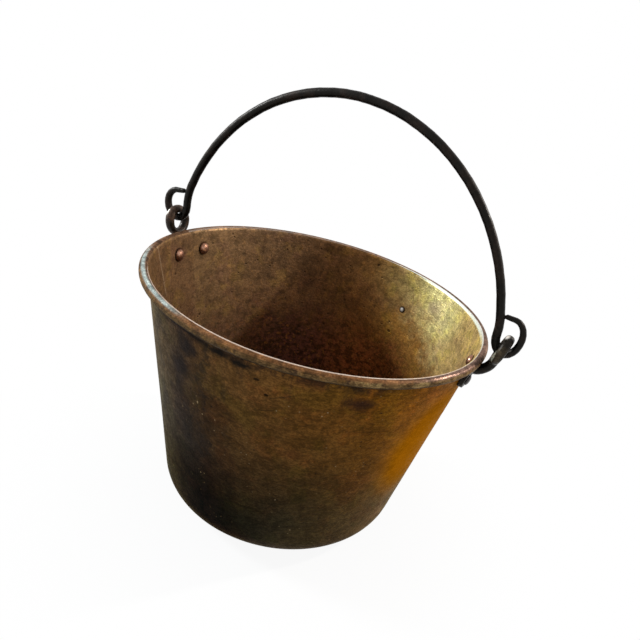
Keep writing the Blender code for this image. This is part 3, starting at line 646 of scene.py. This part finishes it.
def brass_roll():
    """Rolled rim: coppery brown and dark underneath as painted shade, pale along its inner shoulder with wear
    and a painted highlight, and a painted blue-white window reflection at the left.
    """
    brass = Finish("brass_roll")
    grain, blotch, cloud = brass.mottling(21.0, fine=0.20, coarse=0.28)
    value = brass.product(grain, blotch, cloud)
    turn = brass.azimuth(stray=16.0)
    over = brass.degrees(brass.less(brass.z, ROLL_Z), brass.less(brass.radius, ROLL_X))
    colour = brass.shaded(brass.tones_between(over, ROLL_FROM, ROLL_TO, ROLL_TONES), value)
    stain = brass.blots((110.0, 4.0, 0.65), (0.51, 0.62), 24.0)
    colour = brass.laid(colour, ROLL_STAIN, where=stain, share=0.65)
    gold = brass.product(brass.blots((140.0, 3.0, 0.62), (0.54, 0.64), 25.0),
                         brass.band(over, *GOLD_OVER))
    colour = brass.tinted(colour, (1.7, 1.5, 1.1), where=gold, share=0.6)
    khaki = brass.product(brass.blots((90.0, 4.0, 0.66), (0.46, 0.58), 27.0),
                          brass.band(over, *KHAKI_OVER), brass.band(turn, *KHAKI_SIDE))
    colour = brass.laid(colour, brass.shaded(KHAKI, grain), where=khaki, share=0.75)
    coppery = brass.product(brass.band(over, *COPPERY_OVER), brass.band(turn, *COPPERY_SIDE))
    colour = brass.laid(colour, brass.shaded(COPPERY, value), where=coppery, share=0.70)
    mauve = brass.product(brass.band(turn, *MAUVE_SIDE), brass.window(over, *MAUVE_FROM))
    colour = brass.laid(colour, brass.shaded(MAUVE, value), where=mauve, share=0.75)

    # The inner shoulder of the roll: pale with wear and with a painted highlight
    start = brass.product(brass.grey_round(turn, SHOULDER_START), 180.0)
    shoulder = brass.product(brass.window(brass.less(over, start), *SHOULDER_EASE),
                             brass.window(over, *SHOULDER_END), brass.grey_round(turn, SHOULDER_WEAR_AND_HIGHLIGHT))
    pale = brass.mix(brass.band(turn, *COOL_WEAR_AND_HIGHLIGHT_SIDE), PINKISH_WEAR_AND_HIGHLIGHT, COOL_WEAR_AND_HIGHLIGHT)
    pale = brass.shaded(pale, brass.window(grain, 0.4, 1.6, 0.8, 1.2))
    colour = brass.mix(shoulder, colour, pale)
    # A painted blue-white window reflection on the roll at the left
    window_reflection = brass.tones(cloud, WINDOW_REFLECTION_TONES)
    left = brass.product(brass.band(turn, *WINDOW_REFLECTION_SIDE), brass.band(over, *WINDOW_REFLECTION_OVER))
    colour = brass.laid(colour, brass.shaded(window_reflection, value), where=left, share=0.80)
    strokes = brass.turning_marks(2600.0, 22.0)
    colour = brass.shaded(colour, brass.window(strokes, 0.35, 0.65, 0.66, 1.28))

    dull = brass.product(brass.band(turn, *DULL_SIDE), brass.window(over, *DULL_END))
    roughness = brass.most(brass.window(value, 0.5, 1.5, 0.50, 0.36), brass.product(dull, 0.78))
    roughness = brass.mix(shoulder, roughness, RUBBED_ROUGHNESS)
    metallic = brass.most(brass.window(dull, 0.0, 1.0, 0.5, 0.1), shoulder)
    rise = brass.total(brass.product(grain, 0.5), strokes)
    return brass.done(colour, roughness, metallic, brass.relief(rise, 0.0003, 0.5),
                      tint=(0.8, 0.6, 0.45), shine=0.1)


def forged_iron(name, scale, rust, worn, shift, shine, rubs=()):
    """Hammered iron: nearly black scale, brown in the hollows, and pale bare metal at painted glints."""
    iron = Finish(name)
    cloud = iron.noise(70.0, 5.0, 0.65, shift=shift)
    fine = iron.noise(420.0, 4.0, 0.65, shift=shift + 2.0)
    colour = iron.mix(iron.window(cloud, 0.46, 0.64), scale, rust)
    colour = iron.shaded(colour, iron.window(fine, 0.35, 0.65, 0.6, 1.4))
    edge = iron.node("ShaderNodeNewGeometry").outputs["Pointiness"]
    edge = iron.product(iron.window(edge, 0.52, 0.58), iron.window(fine, 0.40, 0.62))
    colour = iron.laid(colour, worn, where=edge, share=0.7)
    colour = iron.shaded(colour, iron.window(iron.z, *EAR_SHADE, 0.25, 1.0))
    bare = IRON_METALLIC
    # Painted glints: pale spots of bare, shiny metal
    for place, sizes, shade in rubs:
        spot = iron.product(iron.spot(place, 0.0, sizes, ragged=0.3), iron.window(fine, 0.36, 0.52, 0.5, 1.0))
        colour = iron.mix(spot, colour, shade)
        bare = iron.most(spot, bare)
    return iron.done(colour, roughness=iron.window(cloud, 0.35, 0.65, 0.30, 0.48), metallic=bare,
                     normal=iron.relief(fine, 0.0005, 0.6), tint=(1.0, 0.9, 0.8), shine=shine)


def rivet_copper():
    """Copper rivets: polished domes inside, near-black peens outside."""
    copper = Finish("worn_copper")
    cloud = copper.noise(240.0, 4.0, 0.6, shift=31.0)
    colour = copper.tones(cloud, COPPER_TONES)
    outside = copper.window(copper.radius, wall_radius(PLATE_Z), wall_radius(PLATE_Z) + 0.002)
    colour = copper.laid(colour, PEEN_BLACK, where=outside, share=0.95)
    return copper.done(colour, roughness=copper.window(cloud, 0.35, 0.65, 0.42, 0.28),
                       metallic=copper.window(outside, 0.0, 1.0, 0.85, 0.1),
                       normal=copper.relief(cloud, 0.0005, 0.5))


def patch_metal():
    """The patch rivet: a pale grey face in a dark ring."""
    tin = Finish("patch_metal")
    cloud = tin.noise(600.0, 4.0, 0.6, shift=41.0)
    colour = tin.tones(cloud, PATCH_TONES)
    face = tin.patch(*PATCH_FACE)
    colour = tin.mix(face, RING_BLACK, colour)
    return tin.done(colour, roughness=tin.window(cloud, 0.3, 0.7, 0.6, 0.45), metallic=tin.product(face, 0.6),
                    normal=tin.relief(cloud, 0.0003, 0.5), shine=0.2)


# Shell of the kettle, as one closed section turned round the axis

# Numbers of the zones of finish, and the share of the roll's turn at which its own finish starts
OUTSIDE, ROLL, INSIDE = 0.0, 1.0, 2.0
ROLL_FINISH_FROM = 0.12

# The section is swept round a circle of this radius, and laid out that much nearer the axis
TURNING_RADIUS = 1.0


def sheet_middle():
    """Places along the middle of the sheet from the axis to the end of the roll, each with its outward
    normal and whether it has the roll's finish."""
    middle = CORNER_RADIUS - SHEET / 2
    corner_z = SHEET / 2 + middle
    corner_x = wall_radius(corner_z) - middle / math.cos(LEAN)
    line = []
    for i in range(BASE_ROWS):
        line.append((corner_x * i / BASE_ROWS, SHEET / 2, 0.0, -1.0, False))
    for i in range(CORNER_ROWS):
        a = -math.pi / 2 + (math.pi / 2 - LEAN) * i / CORNER_ROWS
        c, s = math.cos(a), math.sin(a)
        line.append((corner_x + middle * c, corner_z + middle * s, c, s, False))
    low_x, low_z = corner_x + middle * math.cos(LEAN), corner_z - middle * math.sin(LEAN)
    high_x, high_z = ROLL_X - ROLL_MID * math.cos(LEAN), ROLL_Z + ROLL_MID * math.sin(LEAN)
    for i in range(WALL_ROWS):
        t = i / WALL_ROWS
        line.append((low_x + (high_x - low_x) * t, low_z + (high_z - low_z) * t,
                     math.cos(LEAN), -math.sin(LEAN), False))
    for i in range(ROLL_ROWS + 1):
        a = math.pi - LEAN - ROLL_TURN * i / ROLL_ROWS
        c, s = math.cos(a), math.sin(a)
        rolled = i > ROLL_FINISH_FROM * ROLL_ROWS
        line.append((ROLL_X + ROLL_MID * c, ROLL_Z + ROLL_MID * s, -c, -s, rolled))
    return line


def shell_section():
    """The sheet's whole outline as (radius, z, zone): out along one face and back along the other."""
    line = sheet_middle()
    half = SHEET / 2
    out = [(r + n * half, z + m * half, OUTSIDE) for r, z, n, m, rolled in line]
    back = [(r - n * half, z - m * half, ROLL if rolled else INSIDE) for r, z, n, m, rolled in line]
    return out + back[::-1]


def section_line(name):
    """The shell's section as a line of edges, laid out for turning, with its finish zones."""
    section = shell_section()[::-1]
    mesh = bpy.data.meshes.new(name)
    places = [(r - TURNING_RADIUS, -z, 0.0) for r, z, _ in section]
    mesh.from_pydata(places, [(i, i + 1) for i in range(len(section) - 1)], [])
    zone = mesh.attributes.new("zone", "FLOAT", "POINT")
    zone.data.foreach_set("value", [row[2] for row in section])
    made = bpy.data.objects.new(name, mesh)
    bpy.context.scene.collection.objects.link(made)
    return made


# Geometry Nodes


class Tree:
    """A Geometry Nodes tree with named inputs."""

    def __init__(self, name, inputs):
        self.group = bpy.data.node_groups.new(name, "GeometryNodeTree")
        self.ids = {}
        face = self.group.interface
        face.new_socket("Geometry", in_out="INPUT", socket_type="NodeSocketGeometry")
        for label, kind in inputs:
            self.ids[label] = face.new_socket(label, in_out="INPUT", socket_type=kind).identifier
        face.new_socket("Geometry", in_out="OUTPUT", socket_type="NodeSocketGeometry")
        self.given = self.group.nodes.new("NodeGroupInput").outputs
        self.result = self.group.nodes.new("NodeGroupOutput").inputs["Geometry"]

    def node(self, kind, inputs=(), **settings):
        return new_node(self.group, kind, inputs, **settings)

    def vector(self, operation, first, second):
        """One step of arithmetic on a vector; the second is a socket's name and its value."""
        return self.node("ShaderNodeVectorMath", [(0, first), second], operation=operation).outputs[0]

    def number(self, operation, *values):
        """One step of arithmetic on numbers."""
        return self.node("ShaderNodeMath", enumerate(values), operation=operation).outputs[0]

    def uneven(self, geometry):
        """Moves the surface a little by a cloudy pattern, as handwork does."""
        given = self.given
        pattern = self.node("ShaderNodeTexNoise", [("Scale", given["Grain"]), ("W", given["Seed"])],
                            noise_dimensions="4D")
        centred = self.vector("SUBTRACT", pattern.outputs["Color"], (1, (0.5, 0.5, 0.5)))
        sized = self.vector("SCALE", centred, ("Scale", given["Depth"]))
        normal = self.node("GeometryNodeInputNormal")
        swollen = self.vector("SCALE", normal.outputs[0], ("Scale", given["Swell"]))
        offset = self.vector("ADD", sized, (1, swollen))
        return self.node("GeometryNodeSetPosition", [("Geometry", geometry), ("Offset", offset)])

    def finish(self, geometry, finish):
        """Ends the tree: real geometry in one finish."""
        real = self.node("GeometryNodeRealizeInstances", [("Geometry", geometry)])
        last = self.node("GeometryNodeSetMaterial",
                         [("Geometry", real.outputs[0]), ("Material", finish)])
        self.group.links.new(last.outputs[0], self.result)
        return self

    def run(self, thing, **values):
        """Runs the tree on an object, and leaves the result as its plain mesh."""
        modifier = thing.modifiers.new(self.group.name, "NODES")
        modifier.node_group = self.group
        for label, value in values.items():
            modifier[self.ids[label.replace("_", " ")]] = value
        return settle(thing)


def settle(thing):
    """Turns an object with its modifiers into a plain mesh."""
    bpy.context.view_layer.update()
    seen = thing.evaluated_get(bpy.context.evaluated_depsgraph_get())
    mesh = bpy.data.meshes.new_from_object(seen)
    thing.modifiers.clear()
    thing.data = mesh
    mesh.name = thing.name
    return thing


# Inputs of every tree that leaves its surface uneven
UNEVEN = [(label, "NodeSocketFloat") for label in ("Swell", "Depth", "Grain", "Seed")]


def spun_sheet_tree():
    """Turns the section about the upright axis, leaves it uneven, and gives each zone its finish."""
    zones = ((OUTSIDE, "Outside"), (ROLL, "Roll"), (INSIDE, "Inside"))
    sizes = [("Steps", "NodeSocketInt"), ("Turning Radius", "NodeSocketFloat"), ("Join", "NodeSocketFloat")]
    tree = Tree("spun_sheet", sizes + UNEVEN + [(label, "NodeSocketMaterial") for _, label in zones])
    given = tree.given
    section = tree.node("GeometryNodeMeshToCurve", [("Mesh", given["Geometry"])])
    circle = tree.node("GeometryNodeCurvePrimitiveCircle",
                       [("Resolution", given["Steps"]), ("Radius", given["Turning Radius"])])
    turned = tree.node("GeometryNodeCurveToMesh",
                       [("Curve", circle.outputs[0]), ("Profile Curve", section.outputs[0])])
    closed = tree.node("GeometryNodeMergeByDistance",
                       [("Geometry", turned.outputs[0]), ("Distance", given["Join"])])
    moved = tree.uneven(closed.outputs[0])
    last = tree.node("GeometryNodeRealizeInstances", [("Geometry", moved.outputs[0])])
    zone = tree.node("GeometryNodeInputNamedAttribute", [("Name", "zone")], data_type="FLOAT")
    for number, label in zones:
        here = tree.node("FunctionNodeCompare", [("A", zone.outputs["Attribute"]), ("B", number - 0.5)],
                         data_type="FLOAT", operation="GREATER_EQUAL")
        last = tree.node("GeometryNodeSetMaterial",
                         [("Geometry", last.outputs[0]), ("Selection", here.outputs[0]),
                          ("Material", given[label])])
    tree.group.links.new(last.outputs[0], tree.result)
    return tree


def rivet_tree():
    """Sets one rivet in its four places, two to each ear, and leaves each uneven in its own way."""
    tree = Tree("ear_rivets", [("Pair Angle", "NodeSocketFloat")] + UNEVEN +
                [("Finish", "NodeSocketMaterial")])
    places = tree.node("GeometryNodeMeshLine",
                       [("Count", len(RIVET_AZIMUTHS)), ("Offset", (0.0, 0.0, 0.0))])
    number = tree.node("GeometryNodeInputIndex").outputs[0]
    second_of_pair = tree.number("MODULO", number, 2.0)
    other_ear = tree.number("GREATER_THAN", number, 1.5)
    within = tree.number("MULTIPLY", second_of_pair, tree.given["Pair Angle"])
    turn = tree.number("MULTIPLY_ADD", other_ear, math.pi, within)
    about = tree.node("FunctionNodeAxisAngleToRotation", [("Axis", (0.0, 0.0, 1.0)), ("Angle", turn)])
    set_in = tree.node("GeometryNodeInstanceOnPoints",
                       [("Points", places.outputs[0]), ("Instance", tree.given["Geometry"]),
                        ("Rotation", about.outputs[0])])
    real = tree.node("GeometryNodeRealizeInstances", [("Geometry", set_in.outputs[0])])
    return tree.finish(tree.uneven(real.outputs[0]).outputs[0], tree.given["Finish"])


def forging_tree():
    """Uneven forged surface in one finish."""
    tree = Tree("forging", UNEVEN + [("Finish", "NodeSocketMaterial")])
    return tree.finish(tree.uneven(tree.given["Geometry"]).outputs[0], tree.given["Finish"])


def forged(name, node, voxel, finish):
    """A finer copy of a CAD node: its joints blended and its edges softened."""
    joined = bmesh.new()
    joined.from_mesh(frame["nodes"][node].data)
    bmesh.ops.remove_doubles(joined, verts=joined.verts, dist=JOIN)
    mesh = bpy.data.meshes.new(name)
    joined.to_mesh(mesh)
    joined.free()
    mesh.materials.append(finish)
    piece = bpy.data.objects.new(name, mesh)
    bpy.context.scene.collection.objects.link(piece)
    remesh = piece.modifiers.new("blend", "REMESH")
    remesh.mode = "VOXEL"
    remesh.voxel_size = voxel
    remesh.use_smooth_shade = True
    soften = piece.modifiers.new("soften", "SMOOTH")
    soften.factor = SOFTEN_FACTOR
    soften.iterations = SOFTEN_PASSES
    return settle(piece)


def placed(piece, body, slot, *nodes):
    """Puts a finished piece in the model in place of its CAD nodes."""
    piece.data.shade_smooth()
    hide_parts(*nodes)
    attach(piece, body)


def make_shell():
    """The brass shell: one spun sheet from the base to the rolled rim."""
    shell = section_line("spun_shell")
    spun_sheet_tree().run(shell, Steps=TURN_STEPS, Turning_Radius=TURNING_RADIUS, Join=JOIN, Seed=2.0,
                          Outside=brass_outside(), Roll=brass_roll(), Inside=brass_inside(), **SHEET_WORK)
    placed(shell, "kettle", "old_brass", "kettle_body")


def make_ironwork(tree):
    """The bail and the two ears, forged."""
    black = forged_iron("black_bail_iron", *BAIL_IRON)
    left = forged_iron("brown_ear_iron", *LEFT_EAR_IRON, LEFT_EAR_PAINTED_GLINTS)
    right = forged_iron("bronzed_ear_iron", *RIGHT_EAR_IRON, RIGHT_EAR_PAINTED_GLINTS)
    for name, node, slot, body, finish, seed in (
            ("bail_rod", "bail", "bail_iron", "bail", black, 3.0),
            ("left_ear", "ear_left", "ear_iron", "kettle", left, 5.0),
            ("right_ear", "ear_right", "ear_iron", "kettle", right, 7.0)):
        piece = forged(name, node, FORGE_VOXEL, finish)
        tree.run(piece, Seed=seed, Finish=finish, **FORGE_WORK)
        placed(piece, body, slot, node)


def make_rivets(tree):
    """The four copper rivets of the ears, and the small one that closes the hole in the wall."""
    copper, tin = rivet_copper(), patch_metal()
    rivets = forged("copper_rivets", "ear_rivet_right_front", RIVET_VOXEL, copper)
    rivet_tree().run(rivets, Pair_Angle=RIVET_PAIR_ANGLE, Seed=4.0, Finish=copper, **RIVET_WORK)
    placed(rivets, "kettle", "rivet_copper",
           *[node for node in frame["nodes"] if node.startswith("ear_rivet")])
    plug = forged("patch_plug", "patch_rivet", PLUG_VOXEL, tin)
    tree.run(plug, Seed=9.0, Finish=tin, **PLUG_WORK)
    placed(plug, "kettle", "patch_tin", "patch_rivet")


def dress_rim_wire():
    """Iron on the wire inside the roll, which keeps its own solid."""
    wire = frame["nodes"]["rim_wire"]
    wire.data.materials.clear()
    wire.data.materials.append(forged_iron("plain_wire_iron", *RIM_WIRE_IRON))


# Studio

# The floor turns from a near white to pure white between two distances from the kettle's middle
FLOOR_HALF = 6.0
PAPER_WHITE, PAPER_ROUGHNESS, PAPER_SHINE = 0.9, 0.9, 0.1
NEAR_WHITE = 0.92
WHITE_FROM, WHITE_TO = 0.10, 0.30
DAYLIGHT = 0.35

# Lamps: azimuth and elevation in degrees, size, power and colour
LAMP_DISTANCE = 1.6
LAMPS = {"left_window": (192.0, 23.0, 0.34, 28.0, (0.93, 0.98, 1.0)),
         "right_window": (38.0, 35.0, 0.09, 19.0, (1.0, 0.95, 0.88))}

# The photograph's viewpoint
CAMERA_PLACE = (0.1671, -0.4258, 0.3954)
CAMERA_TURN = (59.941, -15.595, 21.402)
CAMERA_SENSOR, CAMERA_LENS = 36.0, 30.925
CAMERA_SHIFT = (-0.09375, 0.1)
CAMERA_NEAR = 0.01


def seen_directly(tree):
    """1 for what the camera sees directly or in a reflection, and 0 for the light on the kettle."""
    ray = new_node(tree, "ShaderNodeLightPath").outputs
    seen = new_node(tree, "ShaderNodeMath", [(0, ray["Is Camera Ray"]), (1, ray["Is Glossy Ray"])],
                    operation="MAXIMUM")
    return seen.outputs[0]


def make_floor():
    """A white floor that fades into the white background away from the kettle."""
    bpy.ops.mesh.primitive_plane_add(size=2 * FLOOR_HALF)
    floor = bpy.context.object
    floor.name = "studio_floor"
    paper = bpy.data.materials.new("studio_paper")
    paper.use_nodes = True
    tree = paper.node_tree
    shader = tree.nodes["Principled BSDF"]
    put(tree, shader, [("Base Color", (PAPER_WHITE, PAPER_WHITE, PAPER_WHITE, 1.0)),
                       ("Roughness", PAPER_ROUGHNESS), ("Specular IOR Level", PAPER_SHINE)])
    glow = new_node(tree, "ShaderNodeEmission")
    place = new_node(tree, "ShaderNodeTexCoord").outputs["Object"]
    away = new_node(tree, "ShaderNodeVectorMath", [(0, place)], operation="LENGTH").outputs["Value"]
    fade = new_node(tree, "ShaderNodeMapRange", [("Value", away), ("From Min", WHITE_FROM),
                    ("From Max", WHITE_TO), ("To Min", NEAR_WHITE)], interpolation_type="SMOOTHSTEP")
    both = new_node(tree, "ShaderNodeMath", [(0, seen_directly(tree)), (1, fade.outputs["Result"])],
                    operation="MULTIPLY")
    blend = new_node(tree, "ShaderNodeMixShader", [("Fac", both.outputs[0]), (1, shader.outputs[0]),
                                                   (2, glow.outputs[0])])
    put(tree, tree.nodes["Material Output"], [("Surface", blend.outputs[0])])
    floor.data.materials.append(paper)


def make_world():
    """Even daylight, seen as pure white by the camera and in reflections."""
    world = bpy.data.worlds.new("studio_daylight")
    bpy.context.scene.world = world
    world.use_nodes = True
    tree = world.node_tree
    level = new_node(tree, "ShaderNodeMapRange", [("To Min", DAYLIGHT), ("Value", seen_directly(tree))])
    put(tree, tree.nodes["Background"],
        [("Color", (1.0, 1.0, 1.0, 1.0)), ("Strength", level.outputs["Result"])])


def make_lamp(name, azimuth, elevation, size, power, colour):
    """A round soft lamp, at one distance from the middle of the kettle's mouth."""
    lamp = bpy.data.lights.new(name, "AREA")
    lamp.shape = "DISK"
    lamp.size = size
    lamp.energy = power
    lamp.color = colour
    thing = bpy.data.objects.new(name, lamp)
    bpy.context.scene.collection.objects.link(thing)
    turn, rise = math.radians(azimuth), math.radians(elevation)
    way = Vector((math.cos(rise) * math.cos(turn), math.cos(rise) * math.sin(turn), math.sin(rise)))
    thing.location = Vector((0.0, 0.0, KETTLE_HEIGHT)) + LAMP_DISTANCE * way
    thing.rotation_euler = (-way).to_track_quat("-Z", "Y").to_euler()


def make_camera():
    """The photograph's viewpoint: close, from above the right front, and rolled."""
    camera = bpy.data.cameras.new("photo_view")
    camera.sensor_width = CAMERA_SENSOR
    camera.lens = CAMERA_LENS
    camera.shift_x, camera.shift_y = CAMERA_SHIFT
    camera.clip_start = CAMERA_NEAR
    thing = bpy.data.objects.new("photo_view", camera)
    bpy.context.scene.collection.objects.link(thing)
    thing.location = CAMERA_PLACE
    thing.rotation_euler = [math.radians(a) for a in CAMERA_TURN]
    bpy.context.scene.camera = thing


def make_studio():
    """Plain light on a white floor, with colours shown as they are."""
    bpy.context.scene.view_settings.view_transform = "Standard"
    make_world()
    make_floor()
    for name, settings in LAMPS.items():
        make_lamp(name, *settings)


def main():
    make_camera()
    make_studio()
    tree = forging_tree()
    make_shell()
    make_ironwork(tree)
    make_rivets(tree)
    dress_rim_wire()


main()
